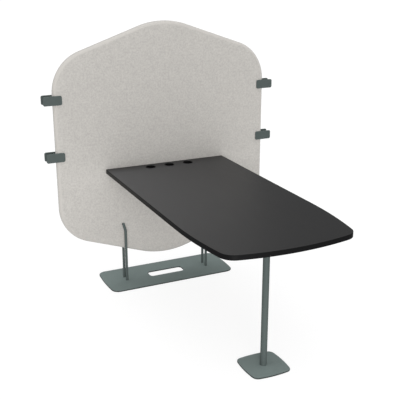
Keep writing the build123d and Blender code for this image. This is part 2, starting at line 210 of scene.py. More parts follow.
class DeskStage(bpy.types.PropertyGroup):
    """The light and the camera."""
    sky_low: amount("Low sky", "Strength of the sky's dim side", 0.23)
    sky_high: amount("High sky", "What the bright side adds to it", 1.6)
    bright_side: FloatVectorProperty(name="Bright side", description="Where the sky is brightest",
                                     default=(-0.15, -0.19, 0.90), size=3, subtype="DIRECTION")
    front: amount("Front light", "Power of the soft light in front", 430, subtype="POWER")
    fill: amount("Fill", "Power of the low soft light in front", 60, subtype="POWER")
    floor_glow: amount("Floor glow", "Keeps the floor white in the shade", 0.82)
    floor: colour("Floor", "The pale floor", (0.22, 0.22, 0.22))
    lens: amount("Lens", "Focal length for a 36 mm sensor", 68.08, unit="CAMERA")


# Materials

class Wire:
    """A shader socket that takes part in arithmetic."""

    def __init__(self, wiring, socket):
        self.wiring = wiring
        self.socket = socket

    def maths(self, operation, first, second):
        return self.wiring.node("ShaderNodeMath", {"operation": operation}, {0: first, 1: second})

    def __add__(self, other):
        return self.maths("ADD", self, other)

    def __radd__(self, other):
        return self.maths("ADD", other, self)

    def __sub__(self, other):
        return self.maths("SUBTRACT", self, other)

    def __rsub__(self, other):
        return self.maths("SUBTRACT", other, self)

    def __mul__(self, other):
        return self.maths("MULTIPLY", self, other)

    def __rmul__(self, other):
        return self.maths("MULTIPLY", other, self)

    def __abs__(self):
        return self.maths("ABSOLUTE", self, 0)


class Wiring:
    """The nodes of a material or of the sky."""

    def __init__(self, tree):
        self.tree = tree

    def feed(self, socket, value):
        """A link from a wire, or a value set on the socket itself."""
        if isinstance(value, Wire):
            self.tree.links.new(value.socket, socket)
        elif socket.type == "RGBA":
            socket.default_value = (*value, 1)
        else:
            socket.default_value = value

    def node(self, kind, settings, values, output=0):
        """A new node: its settings first, then the values or links of its sockets."""
        made = self.tree.nodes.new(kind)
        for name, setting in settings.items():
            if name == "stops":
                self.set_stops(made.color_ramp.elements, setting)
            else:
                setattr(made, name, setting)
        for name, value in values.items():
            self.feed(made.inputs[name], value)
        return Wire(self, made.outputs[output])

    def clamped(self, value):
        """The value, held between 0 and 1."""
        return self.node("ShaderNodeClamp", {}, {"Value": value})

    @staticmethod
    def set_stops(elements, stops):
        """Sets a ramp's two stops to grey levels."""
        for element, (place, level) in zip(elements, stops):
            element.position = place
            element.color = (level, level, level, 1)


class Finish(Wiring):
    """One material, its principled shader and the nodes that vary it."""

    def __init__(self, name, fixed):
        self.material = bpy.data.materials.new(name)
        self.material.use_nodes = True
        super().__init__(self.material.node_tree)
        self.shader = self.tree.nodes["Principled BSDF"]
        for socket, value in fixed.items():
            self.feed(self.shader.inputs[socket], value)

    def place(self):
        """The point on the surface, in metres."""
        return self.node("ShaderNodeTexCoord", {}, {}, output="Object")

    def along(self, axis):
        """The point's x, y or z."""
        return self.node("ShaderNodeSeparateXYZ", {}, {0: self.place()}, output=axis)

    def facing(self, axis):
        """How far the surface looks along an axis, from -1 to 1."""
        faced = self.node("ShaderNodeNewGeometry", {}, {}, output="Normal")
        return self.node("ShaderNodeSeparateXYZ", {}, {0: faced}, output=axis)

    def upward(self):
        """1 on faces that look up, where the coat's painted top light goes, 0 on upright and lower
        ones.
        """
        return self.clamped(self.facing("Z") * 5 - 4)

    def lifted(self):
        """From 0 on faces that look down to 1 on faces that look up."""
        return self.facing("Z") * 0.5 + 0.5

    def on_edge(self):
        """1 where the screen's cover is stretched around its edge, 0 on its two faces."""
        return self.clamped((1 - abs(self.facing("Y"))) * 18)

    def below(self, height):
        """1 near the floor, where the coat's painted shade goes, 0 above the height. It fades over
        2 mm.
        """
        return self.clamped((height - self.along("Z")) * (0.5 / MM))

    def stretched(self, scale):
        """The point, scaled along each axis."""
        return self.node("ShaderNodeVectorMath", {"operation": "MULTIPLY"},
                         {0: self.place(), 1: scale})

    def noise(self, size, detail=2, roughness=0.5, place=None):
        """Soft noise from 0 to 1 whose patches are about size across."""
        values = {"Vector": place or self.place(), "Scale": 1 / size, "Detail": detail,
                  "Roughness": roughness}
        return self.node("ShaderNodeTexNoise", {}, values)

    def cells(self, size, settings=None, output="Distance"):
        """Rounded cells about size across."""
        values = {"Vector": self.place(), "Scale": 1 / size}
        return self.node("ShaderNodeTexVoronoi", settings or {}, values, output=output)

    def wave(self, value, pitch):
        """A sine from -1 to 1 with one period for each pitch."""
        return self.node("ShaderNodeMath", {"operation": "SINE"}, {0: value * (TURN / pitch)})

    def ramp(self, value, *stops):
        """A level for each value, between two stops of (value, level)."""
        return self.node("ShaderNodeValToRGB", {"stops": stops}, {"Fac": value})

    def mix(self, mask, first, second):
        """The first colour where the mask is 0, the second where it is 1."""
        colours = {0: mask, 6: first, 7: second}   # by number, as names repeat on this node
        return self.node("ShaderNodeMix", {"data_type": "RGBA"}, colours, output=2)

    def between(self, value, low, high):
        """A value from 0 to 1 spread from low to high."""
        return value * (high - low) + low

    def colour(self, value):
        self.feed(self.shader.inputs["Base Color"], value)

    def roughness(self, value):
        self.feed(self.shader.inputs["Roughness"], value)

    def relief(self, height, depth):
        """Bumps whose height runs from 0 to 1, depth metres deep."""
        values = {"Height": height, "Distance": depth, "Strength": 1}
        bump = self.node("ShaderNodeBump", {}, values)
        self.feed(self.shader.inputs["Normal"], bump)


def dimmed(colour, factor):
    """A colour made darker, or lighter by a factor above 1."""
    return tuple(min(1, part * factor) for part in colour)


def melange_wool(tones):
    """Felted wool in a fine weave, light fibres with darker ones among them; painted light and
    shade on its edge.
    """
    wool = Finish("melange_wool", {"Roughness": 0.95, "Sheen Weight": 0.35,
                                   "Sheen Roughness": 0.5, "Specular IOR Level": 0.06})
    x, y, z = (wool.along(axis) for axis in "XYZ")
    weave = wool.wave(x + y, 1.7 * MM) * wool.wave(z + y, 1.5 * MM)
    fibres = wool.noise(0.9 * MM, detail=3, roughness=0.65)
    flecks = wool.noise(11 * MM, detail=5, roughness=0.75)
    clouds = wool.noise(34 * MM, detail=4, roughness=0.65)
    warp = wool.noise(1, detail=2, place=wool.stretched((520, 520, 60)))
    weft = wool.noise(1, detail=2, place=wool.stretched((60, 60, 520)))
    dark = wool.ramp(flecks, (0.40, 1), (0.60, 0))
    tone = dark * 0.62 + clouds * 0.66 + fibres * 0.22 + (warp + weft) * 0.22 - 0.40
    face = wool.mix(tone, dimmed(tones.wool, 1.09), tones.wool_dark)
    # Painted light and shade on the edge: lighter where the cover faces up, darker where it faces
    # down.
    stretched = wool.mix(wool.lifted(), dimmed(tones.wool, 0.80), dimmed(tones.wool, 1.17))
    wool.colour(wool.mix(wool.on_edge() * 0.9, face, stretched))
    wool.relief(fibres * 0.5 + weave * 0.14 + flecks * 0.35, 0.55 * MM)
    return wool.material


def powder_coat(name, tone, grain, gloss):
    """Fine orange peel with faint cloudiness, as sprayed and baked powder has, with painted top
    light and painted shade near the floor.
    """
    coat = Finish(name, {"Specular IOR Level": 0.08})
    peel = coat.noise(grain, detail=2, roughness=0.45)
    speck = coat.noise(grain * 0.35, detail=1)
    clouds = coat.noise(60 * MM, detail=3)
    clean = coat.mix(clouds * 0.6 + speck * 0.4, dimmed(tone, 0.92), dimmed(tone, 1.08))
    # Painted light: faces that look up are made far lighter, as if lit from above.
    painted_light = coat.mix(clouds * 0.7 + speck * 0.3, dimmed(tone, 2.60), dimmed(tone, 2.90))
    # Painted shade: the coat turns much darker in its lowest 9 mm, beside the floor.
    side = coat.mix(coat.below(9 * MM), clean, dimmed(tone, 0.45))
    coat.colour(coat.mix(coat.upward(), side, painted_light))
    coat.roughness(coat.between(peel * 0.6 + clouds * 0.4, gloss - 0.07, gloss + 0.07))
    coat.relief(peel + speck * 0.25, 0.16 * MM)
    return coat.material


def desk_laminate(tones):
    """Matt laminate pressed with a fine pore. A painted reflection, a lighter tone, is strongest on
    the left, grows towards the screen and ends just before it, which leaves a painted shade along
    the screen's foot."""
    top = Finish("matt_laminate", {"Specular IOR Level": 0.50})
    pores = top.noise(0.6 * MM, detail=3, roughness=0.6)
    grit = top.cells(0.9 * MM)
    wiped = top.noise(1, detail=4, roughness=0.62, place=top.stretched((9, 2.6, 9)))
    clean = top.mix(pores * 0.5 + wiped * 0.5, dimmed(tones.laminate, 0.86),
                    dimmed(tones.laminate, 1.16))
    x, y = (top.along(axis) for axis in "XY")
    # Painted reflection of the lit screen, lighter towards the back left of the desk top.
    painted_reflection = top.clamped(y * 0.35 - x * 0.75 + 0.52)
    # Painted shade: the painted reflection stops just before the screen, leaving the strip at its
    # foot dark.
    away_from_screen = top.clamped(6.0 - y * 9)
    painted_light = painted_reflection * painted_reflection * away_from_screen * (wiped * 0.3 + 0.90)
    top.colour(top.mix(painted_light, clean, tones.painted_reflection))
    top.roughness(top.between(wiped * 0.7 + pores * 0.3, 0.46, 0.54))
    top.relief(pores * 0.6 + grit * 0.4, 0.07 * MM)
    return top.material


def edge_banding(tones):
    """Satin plastic edging with fine lines along its length and a few handling marks."""
    band = Finish("satin_edging", {"Specular IOR Level": 0.12})
    lines = band.noise(1, detail=2, place=band.stretched((14, 14, 2600)))
    grain = band.noise(0.8 * MM, detail=2)
    marks = band.noise(35 * MM, detail=3)
    band.colour(band.mix(lines, dimmed(tones.edging, 0.8), dimmed(tones.edging, 1.25)))
    band.roughness(band.between(marks * 0.6 + lines * 0.4, 0.36, 0.50))
    band.relief(lines * 0.6 + grain * 0.4, 0.08 * MM)
    return band.material


def moulded_plastic(tones):
    """Spark-textured moulding."""
    plastic = Finish("moulded_plastic", {"Specular IOR Level": 0.03})
    spark = plastic.cells(0.55 * MM, {"feature": "SMOOTH_F1"})
    clouds = plastic.noise(18 * MM, detail=2)
    plastic.colour(plastic.mix(clouds, dimmed(tones.moulding, 0.85), dimmed(tones.moulding, 1.2)))
    plastic.roughness(plastic.between(spark * 0.5 + clouds * 0.5, 0.40, 0.54))
    plastic.relief(spark, 0.08 * MM)
    return plastic.material


def zinc_plate(tones):
    """Bright zinc with fine drawing lines and dull patches."""
    zinc = Finish("zinc_plate", {"Metallic": 1.0})
    lines = zinc.noise(0.35 * MM, detail=2)
    dull = zinc.noise(4 * MM, detail=3, roughness=0.6)
    zinc.colour(zinc.mix(dull, dimmed(tones.zinc, 0.82), dimmed(tones.zinc, 1.15)))
    zinc.roughness(zinc.between(dull * 0.7 + lines * 0.3, 0.24, 0.44))
    zinc.relief(lines, 0.03 * MM)
    return zinc.material


def pressed_felt(tones):
    """Matted fibres."""
    felt = Finish("pressed_felt", {"Roughness": 0.96, "Sheen Weight": 0.3,
                                   "Specular IOR Level": 0.1})
    fibres = felt.noise(0.5 * MM, detail=4, roughness=0.7)
    tufts = felt.noise(5 * MM, detail=3)
    felt.colour(felt.mix(fibres * 0.6 + tufts * 0.4, dimmed(tones.felt, 0.6),
                         dimmed(tones.felt, 1.5)))
    felt.relief(fibres * 0.7 + tufts * 0.3, 0.4 * MM)
    return felt.material


def raw_chipboard():
    """Pressed chips of several shades."""
    board = Finish("raw_chipboard", {"Roughness": 0.85, "Specular IOR Level": 0.2})
    chips = board.cells(3.5 * MM, output="Color")
    shade = board.node("ShaderNodeSeparateXYZ", {}, {0: chips})
    dust = board.noise(0.7 * MM, detail=3)
    board.colour(board.mix(shade * 0.7 + dust * 0.3, (0.20, 0.125, 0.058), (0.42, 0.29, 0.155)))
    board.relief(shade * 0.5 + dust * 0.5, 0.3 * MM)
    return board.material


def birch_plywood():
    """Pale face veneer with long grain, and plies on the edge."""
    ply = Finish("birch_plywood", {"Roughness": 0.7, "Specular IOR Level": 0.25})
    grain = ply.noise(1, detail=4, roughness=0.6, place=ply.stretched((30, 900, 420)))
    figure = ply.noise(90 * MM, detail=3)
    ply.colour(ply.mix(grain * 0.7 + figure * 0.3, (0.60, 0.43, 0.24), (0.40, 0.26, 0.13)))
    ply.relief(grain, 0.12 * MM)
    return ply.material


def turned_brass():
    """Fine lathe lines on yellow brass."""
    brass = Finish("turned_brass", {"Metallic": 1.0})
    lines = brass.noise(1, detail=2, place=brass.stretched((400, 5200, 400)))
    tarnish = brass.noise(3 * MM, detail=3)
    brass.colour(brass.mix(tarnish, (0.62, 0.43, 0.14), (0.46, 0.30, 0.10)))
    brass.roughness(brass.between(lines * 0.5 + tarnish * 0.5, 0.22, 0.42))
    brass.relief(lines, 0.04 * MM)
    return brass.material


def cream_foam():
    """Open cells."""
    foam = Finish("cream_foam", {"Roughness": 0.95, "Specular IOR Level": 0.1})
    cells = foam.cells(1.4 * MM)
    foam.colour(foam.mix(cells, (0.48, 0.43, 0.33), (0.74, 0.70, 0.60)))
    foam.relief(cells, 0.6 * MM)
    return foam.material


def all_finishes(tones):
    """A material for each slot of the record."""
    return {
        "screen_fabric": melange_wool(tones),
        "foam": cream_foam(),
        "plywood": birch_plywood(),
        "brass": turned_brass(),
        "grey_metal": powder_coat("grey_powder_coat", tones.coat, 1.1 * MM, 0.50),
        # The clips get the darker, painted-shade copy of the coat.
        "clip_metal": powder_coat("clip_powder_coat", tones.clip_coat_shaded, 0.9 * MM, 0.48),
        "bracket_metal": powder_coat("black_powder_coat", tones.bracket_coat, 0.9 * MM, 0.50),
        "zinc_steel": zinc_plate(tones),
        "chipboard": raw_chipboard(),
        "black_laminate": desk_laminate(tones),
        "black_edge": edge_banding(tones),
        "black_plastic": moulded_plastic(tones),
        "felt": pressed_felt(tones),
    }


# The screen's outline and cross-section

def straight_and_round(corners, radii, step):
    """Dense points along a closed outline of straight runs and tangent arcs, with their
    outward directions. The corners run clockwise."""
    points, outward = [], []

    def run_to(first):
        """Adds the straight run from the last point to an arc's first point."""
        last = points[-1]
        run = first - last
        normal = Vector((-run.y, run.x)).normalized()
        steps = max(1, round(run.length / step))
        points.extend(last + run * (k / steps) for k in range(1, steps))
        outward.extend([normal] * (steps - 1))

    for i, corner in enumerate(corners):
        before = (corners[i - 1] - corner).normalized()
        after = (corners[(i + 1) % len(corners)] - corner).normalized()
        half = before.angle(after) / 2
        centre = corner + (before + after).normalized() * (radii[i] / math.sin(half))
        first = corner + before * (radii[i] / math.tan(half))
        if points:
            run_to(first)
        sweep = math.pi - 2 * half
        start = math.atan2(first.y - centre.y, first.x - centre.x)
        steps = max(2, round(radii[i] * sweep / step))
        for k in range(steps + 1):
            angle = start - sweep * k / steps
            normal = Vector((math.cos(angle), math.sin(angle)))
            points.append(centre + normal * radii[i])
            outward.append(normal)
    run_to(points[0])
    return np.array(points), np.array(outward)


def screen_outline(form):
    """Dense points along the screen's outline, with their outward directions."""
    half = form.half_width
    corners = [(-half, form.hip_height), (-half, form.shoulder_height), (0, form.apex_height),
               (half, form.shoulder_height), (half, form.hip_height), (0, form.toe_height)]
    radii = [form.hip_radius, form.shoulder_radius, form.apex_radius, form.shoulder_radius,
             form.hip_radius, form.toe_radius]
    return straight_and_round([Vector(c) for c in corners], radii, OUTLINE_STEP)


def screen_ring(form):
    """The screen's outline, with points closer together where the bars cross it."""
    points, outward = screen_outline(form)
    gaps = np.linalg.norm(np.roll(points, -1, 0) - points, axis=1)
    near = bar_distance(form, points)
    spacing = np.interp(near, RING_BAND, [form.fine_grid, form.grid / 3])
    load = np.cumsum(gaps / spacing)
    count = 2 * round(load[-1] / 2)
    picks = np.searchsorted(load, np.arange(count) * load[-1] / count)
    return points[picks], outward[picks]


def bar_line(form):
    """The right-hand bars' axis as points (x, z), up to one radius short of the tip, and their
    radius."""
    radius = (bar_box[1].y - bar_box[0].y) / 2
    x = bar_box[0].x + radius
    points = [(x, 0.0)]
    for k in range(BEND_STEPS + 1):
        turn = form.bend_angle * k / BEND_STEPS
        points.append((x + form.bend_radius * (1 - math.cos(turn)),
                       form.bend_height + form.bend_radius * math.sin(turn)))
    run = form.top_run - radius
    points.append((points[-1][0] + run * math.sin(form.bend_angle),
                   points[-1][1] + run * math.cos(form.bend_angle)))
    return np.array(points), radius


def bar_distance(form, points):
    """How far points (x, z) are from the axis of the nearest bar."""
    line, _ = bar_line(form)
    here = np.column_stack([np.abs(points[:, 0]), points[:, 1]])
    best = np.full(len(here), np.inf)
    for start, end in zip(line[:-1], line[1:]):
        run = end - start
        along = np.clip((here - start) @ run / (run @ run), 0, 1)
        best = np.minimum(best, np.linalg.norm(here - start - along[:, None] * run, axis=1))
    return best


def bar_bed(form, points):
    """Half the padding's thickness where the bars press into it: round under a bar, then back
    up to the face in a slope that eases out."""
    _, radius = bar_line(form)
    flat = form.thickness / 2
    axis = form.middle - (bar_box[0].y + bar_box[1].y) / 2
    bed = radius + form.bed_gap
    held = 5 * MM            # the cover lies on the bar up to here from its axis
    away = bar_distance(form, points)
    inside = axis - np.sqrt(np.maximum(bed**2 - np.minimum(away, held)**2, 0))
    edge = axis - math.sqrt(bed**2 - held**2)
    slope = held / math.sqrt(bed**2 - held**2)
    fade = (flat - edge) / slope
    outside = flat - (flat - edge) * np.exp(-(away - held) / fade)
    return np.where(away < held, inside, outside)


def half_thickness(form, inset):
    """From the middle plane to the face, at a distance in from the outline."""
    radius = form.edge_round
    rim = form.thickness / 2 - radius
    into = np.clip(radius - inset, 0, radius)
    height = rim + np.sqrt(radius**2 - into**2)
    fall = np.clip(1 - inset / form.crown_reach, 0, 1)**2
    return height * (1 - form.crown * fall)


def rim_insets(form):
    """Insets of the rings from just beside the seam to where the face is level."""
    arc = [form.edge_round * (1 - math.cos(math.radians(a))) for a in RIM_ANGLES]
    return arc + [i for i in np.array(RIM_INSETS) * MM if i > arc[-1]]


def slow_waves(form, points):
    """The foam's slow unevenness."""
    x, z = points[:, 0], points[:, 1]
    waves = sum(np.sin(by_x * x + by_z * z + phase) for by_x, by_z, phase in SLOW_WAVES)
    return form.unevenness * (waves / len(SLOW_WAVES))


def touched(form, points):
    """1 where clips, angles, bars or the desk top hold the cover down, 0 well away from them."""
    x, z = np.abs(points[:, 0]), points[:, 1]
    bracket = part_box("desk_bracket_right")
    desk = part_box("desk_edge_band")
    boxes = [(clip_box[0].x, clip_box[1].x, low.z, high.z)
             for low, high in (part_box("connector_front_upper_right"),
                               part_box("connector_front_lower_right"))]
    boxes.append((bracket[0].x, bracket[1].x, bracket[0].z, bracket[1].z))
    boxes.append((0, desk[1].x, desk[0].z, desk[1].z))
    away = bar_distance(form, points) - BAR_HOLD
    for x0, x1, z0, z1 in boxes:
        dx = np.maximum(np.maximum(x0 - x, x - x1), 0)
        dz = np.maximum(np.maximum(z0 - z, z - z1), 0)
        away = np.minimum(away, np.hypot(dx, dz))
    return np.clip(1 - away / HOLD_FADE, 0, 1)


def inner_points(form, border):
    """A staggered grid inside the border, finer beside the bars."""
    low, high = border.min(0), border.max(0)
    kept = []
    levels = [(form.grid, HALF_BAND, np.inf), (form.grid / 2, FINE_BAND, HALF_BAND),
              (form.fine_grid, 0, FINE_BAND)]
    for step, nearest, farthest in levels:
        rows = np.arange(low[1], high[1], step * math.sqrt(3) / 2)
        for k, z in enumerate(rows):
            xs = np.arange(-high[0] + (k % 2) * step / 2, high[0], step)
            row = np.column_stack([xs, np.full(len(xs), z)])
            away = bar_distance(form, row)
            kept.append(row[(away >= nearest) & (away < farthest)])
    points = np.vstack(kept)
    return points[inside(border, points, form.grid * BORDER_SHARE)]


def inside(border, points, margin):
    """Which points are inside a convex border, further in than the margin."""
    ahead = np.roll(border, -1, 0) - border
    inward = np.column_stack([ahead[:, 1], -ahead[:, 0]])
    inward /= np.linalg.norm(inward, axis=1)[:, None]
    depth = points @ inward.T - np.sum(border * inward, axis=1)
    return depth.min(axis=1) > margin


def cover_mesh(form):
    """The cover's points and faces: rim rings from the seam inwards, then each flat face."""
    ring, outward = screen_ring(form)
    count = len(ring)
    along = np.cumsum(np.linalg.norm(ring - np.roll(ring, 1, 0), axis=1))
    waves = round(along[-1] / form.pucker_pitch)
    pucker = np.sin(along / along[-1] * TURN * waves)
    insets = rim_insets(form)
    rings = [(form.seam_depth * SEAM_SHARE, SEAM_SIDE, 0.8)]
    rings += [(inset, half_thickness(form, inset), math.exp(-inset / PUCKER_FADE))
              for inset in insets]
    points, faces = [], []

    def add_ring(inset, y, draw):
        """Adds a ring of points, drawn in by a share of the pucker. Returns its first number."""
        place = ring - outward * (inset + form.pucker * draw * pucker)[:, None]
        start = len(points) * count
        points.append(np.column_stack([place[:, 0], np.full(count, y), place[:, 1]]))
        return start

    def join(first, second):
        for i in range(count):
            j = (i + 1) % count
            faces.append((first + i, first + j, second + j, second + i))

    middle_ring = add_ring(form.seam_depth, 0.0, 1.0)
    borders = {}
    for sign in (-1, 1):
        last = middle_ring
        for inset, y, draw in rings:
            new = add_ring(inset, sign * y, draw)
            join(*((new, last) if sign < 0 else (last, new)))
            last = new
        borders[sign] = last
    border = ring - outward * insets[-1]
    inner = inner_points(form, border)
    flat = [Vector(p) for p in np.vstack([border, inner])]
    only_inside, merged = 1, 1e-6
    found = delaunay_2d_cdt(flat, [], [list(range(count))], only_inside, merged)
    places = np.array([p[:] for p in found[0]])
    origin = [o[0] if o else -1 for o in found[3]]
    if len(places) != len(flat) or min(origin) < 0:
        raise RuntimeError("the screen's face didn't mesh cleanly")
    base = sum(len(p) for p in points)
    extra = [i for i, o in enumerate(origin) if o >= count]
    for side, sign in enumerate((-1, 1)):
        rows = {i: borders[sign] + origin[i] for i in range(len(origin)) if origin[i] < count}
        rows.update({i: base + side * len(extra) + k for k, i in enumerate(extra)})
        points.append(np.column_stack([places[extra][:, 0],
                                       np.full(len(extra), sign * form.thickness / 2),
                                       places[extra][:, 1]]))
        for face in found[2]:
            corners = [rows[i] for i in face]
            faces.append(tuple(corners if sign < 0 else corners[::-1]))
    return np.vstack(points), faces


def stitches(form, first):
    """A row of short stitches on each side of the seam. The points' numbers start at first.
    Each stitch is a bead of six points: two ends and four around its middle."""
    line, outward = screen_outline(form)
    length = np.cumsum(np.linalg.norm(line - np.roll(line, 1, 0), axis=1))
    picks = np.searchsorted(length, np.arange(0, length[-1] - form.stitch_pitch, form.stitch_pitch))
    half, thick = form.stitch_length / 2, form.stitch_width / 2
    points, faces = [], []
    for row in (-form.stitch_line, form.stitch_line):
        for pick in picks:
            out = outward[pick]
            ahead = np.array([out[1], -out[0]])
            middle = line[pick] - out * form.seam_depth * SEAM_SHARE
            start = first + len(points)
            for run, lift, side in ((-half, 0, 0), (0, thick, 0), (0, 0, thick), (0, -thick, 0),
                                    (0, 0, -thick), (half, 0, 0)):
                spot = middle + ahead * run + out * lift
                points.append((spot[0], row + side, spot[1]))
            for k in range(1, 5):
                after = k % 4 + 1
                faces.append((start, start + k, start + after))
                faces.append((start + 5, start + after, start + k))
    return np.array(points), faces


def shaped_cover(form, points):
    """The slow waves, then the beds that the bars press."""
    flat = points[:, [0, 2]]
    side = np.sign(points[:, 1])
    depth = np.abs(points[:, 1])
    half = form.thickness / 2
    level = np.clip((depth - FACE_SHARE * half) / (FACE_FADE * half), 0, 1)
    free = 1 - touched(form, flat)
    depth = depth + level * slow_waves(form, flat) * free
    depth = np.minimum(depth, bar_bed(form, flat))
    return np.column_stack([points[:, 0], side * depth + form.middle, points[:, 2]])


def settle(piece, held, most, pressure=2.2, frames=14):
    """A cloth simulation that lets the cover find its shape over the foam. Its result is put
    into the mesh, and no point moves further than most."""
    rest = piece_points(piece)
    pins = piece.vertex_groups.new(name="held")
    for index, weight in enumerate(held):
        pins.add([index], float(weight), "REPLACE")
    cloth = piece.modifiers.new("settle", "CLOTH")
    cloth.settings.quality = 4
    cloth.settings.mass = 0.4
    cloth.settings.tension_stiffness = 30
    cloth.settings.compression_stiffness = 30
    cloth.settings.bending_stiffness = 2
    cloth.settings.use_pressure = True
    cloth.settings.uniform_pressure_force = pressure
    cloth.settings.effector_weights.gravity = 0
    cloth.settings.vertex_group_mass = pins.name
    scene = bpy.context.scene
    for number in range(1, frames + 1):
        scene.frame_set(number)
    shape = piece.evaluated_get(bpy.context.evaluated_depsgraph_get())
    moved = np.empty(len(rest) * 3)
    shape.data.vertices.foreach_get("co", moved)
    moved = moved.reshape(-1, 3) - rest
    piece.modifiers.remove(cloth)
    piece.vertex_groups.remove(pins)
    scene.frame_set(1)
    length = np.linalg.norm(moved, axis=1)
    eased = most * np.tanh(length / most) / np.maximum(length, 1e-9)
    piece.data.vertices.foreach_set("co", (rest + moved * eased[:, None]).ravel())
    piece.data.update()


# Pieces

def piece_points(piece):
    """The points of a piece's mesh, one row each."""
    flat = np.empty(len(piece.data.vertices) * 3)
    piece.data.vertices.foreach_get("co", flat)
    return flat.reshape(-1, 3)


def new_piece(name, points, faces, slot, *nodes):
    """A mesh that rides on the desk and stands for some of its solids."""
    mesh = bpy.data.meshes.new(name)
    mesh.from_pydata([tuple(p) for p in points], [], faces)
    mesh.update()
    piece = bpy.data.objects.new(name, mesh)
    bpy.context.scene.collection.objects.link(piece)
    mesh.materials.append(finish_for(slot))
    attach(piece, BODY)
    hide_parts(*nodes)
    return piece


finishes = {}


def finish_for(slot):
    """The material of a slot. All of them are made at the first call."""
    if not finishes:
        finishes.update(all_finishes(bpy.context.scene.desk_finishes))
    return finishes[slot]


class DESK_OT_padded_screen(bpy.types.Operator):
    """Builds the padded cover with its sewn edge"""
    bl_idname = "desk.padded_screen"
    bl_label = "Padded screen"

    def execute(self, context):
        form = context.scene.desk_screen
        points, faces = cover_mesh(form)
        thread, thread_faces = stitches(form, len(points))
        points = shaped_cover(form, np.vstack([points, thread]))
        faces += thread_faces
        cover = new_piece("screen_cover", points, faces, "screen_fabric",
                          "cover_front", "cover_back", "pad_front", "pad_back")
        cover.data.shade_smooth()
        rim = np.abs(points[:, 1] - form.middle) < RIM_SHARE * form.thickness / 2
        held = np.maximum(touched(form, points[:, [0, 2]]), rim)
        settle(cover, held, form.puff)
        return {"FINISHED"}


# Screws, turned about z with the head's top at zero and the tip below

def hexagon(across):
    """Radii of a six-sided socket, by its width across the flats."""
    turn = np.mod(ANGLES, TURN / 6) - TURN / 12
    return across / 2 / np.cos(turn)


def cross(reach, width):
    """Radii of a cross recess with four arms."""
    arms = [np.minimum(reach / np.maximum(np.abs(a), 1e-9), width / 2 / np.maximum(np.abs(b), 1e-9))
            for a, b in ((np.cos(ANGLES), np.sin(ANGLES)), (np.sin(ANGLES), np.cos(ANGLES)))]
    return np.maximum(*arms)


def dome(shares, radius, height):
    """The upper profile of a domed head."""
    return [(radius * across, height * drop) for across, drop in shares]


def turned_screw(profile, recess, depth, taper=1, knurled=()):
    """Points and faces from the recess's floor, over the head and down to the tip. The profile
    holds a radius and a drop for each ring. Knurled names rings of it with their grip's depth."""
    round_ring = np.ones(len(ANGLES))
    rings = [(recess * taper, depth), (recess, 0)]
    rings += [(round_ring * radius, drop) for radius, drop in profile]
    for k, grip in knurled:
        rings[k + 2] = (rings[k + 2][0] - grip * (np.arange(len(ANGLES)) % 2), rings[k + 2][1])
    points = [(0, 0, -depth)]
    for radii, drop in rings:
        points += list(zip(radii * np.cos(ANGLES), radii * np.sin(ANGLES), [-drop] * len(ANGLES)))
    points.append((0, 0, -profile[-1][1]))
    count = len(ANGLES)
    faces = []
    for i in range(count):
        j = (i + 1) % count
        faces.append((0, 1 + i, 1 + j))
        for k in range(len(rings) - 1):
            near, far = 1 + k * count, 1 + (k + 1) * count
            faces.append((near + i, far + i, far + j, near + j))
        last = 1 + (len(rings) - 1) * count
        faces.append((len(points) - 1, last + j, last + i))
    return np.array(points), faces


def cap_screw(sizes, radius, length):
    """A bar screw: a knurled head with a hexagon socket."""
    height, shank, ease = sizes.cap_height, sizes.cap_shank, sizes.ease
    profile = [(radius - ease, 0), (radius, ease), (radius, height - ease), (radius - ease, height),
               (shank, height), (shank, length - 2 * ease), (shank - ease, length)]
    return turned_screw(profile, hexagon(across=radius), depth=height * 0.55,
                        knurled=((1, sizes.knurl), (2, sizes.knurl)))


def button_bolt(sizes, radius, length):
    """A bolt of the desk's angles: a domed head with a hexagon socket."""
    height, shank, ease = sizes.button_height, sizes.button_shank, sizes.ease
    profile = dome(BUTTON_DOME, radius, height)
    profile += [(radius - ease / 2, height), (shank, height), (shank, length - 2 * ease),
                (shank - ease, length)]
    return turned_screw(profile, hexagon(across=radius * 0.72), depth=height * 0.5)


def sunk_screw(sizes, radius, length):
    """A clip's screw: a countersunk head with a hexagon socket."""
    shank, ease = sizes.sunk_shank, sizes.ease / 2
    profile = [(radius - 2 * ease, 0), (radius - ease, ease), (shank, radius - shank),
               (shank, length - 2 * ease), (shank - ease, length)]
    return turned_screw(profile, hexagon(across=radius * 0.62), depth=(radius - shank) * 0.8)


def wood_screw(sizes, radius, length):
    """A screw into the desk top: a pan head with a cross recess, and a point."""
    height, shank = sizes.pan_height, sizes.pan_shank
    profile = dome(PAN_DOME, radius, height)
    profile += [(radius, height), (shank, height), (shank, length - sizes.pan_tip),
                (shank * 0.1, length)]
    recess = cross(reach=radius * 0.52, width=radius * 0.22)
    return turned_screw(profile, recess, depth=height * 0.7, taper=0.5)


def loose_boxes(node):
    """The lowest and highest corners of a node's separate solids."""
    shape = bmesh.new()
    shape.from_mesh(frame["nodes"][node].data)
    bmesh.ops.remove_doubles(shape, verts=shape.verts, dist=1e-6)
    left = set(shape.verts)
    boxes = []
    while left:
        found = [left.pop()]
        for vert in found:
            near = {edge.other_vert(vert) for edge in vert.link_edges} & left
            left -= near
            found += near
        places = np.array([vert.co[:] for vert in found])
        boxes.append((places.min(0), places.max(0)))
    shape.free()
    return sorted(boxes, key=lambda box: tuple(np.round(box[0], 4)))


SCREWS = (                   # piece, the node it stands for, its form, where its shank points
    ("bar_screws", "upright_screen_screws", cap_screw, (0, -1, 0)),
    ("clip_screws", "connector_screws", sunk_screw, (0, -1, 0)),
    ("angle_bolts", "bracket_screen_bolts", button_bolt, (0, 1, 0)),
    ("angle_wood_screws", "bracket_desk_screws", wood_screw, (0, 0, 1)),
    ("leg_wood_screws", "leg_flange_screws", wood_screw, (0, 0, 1)),
)


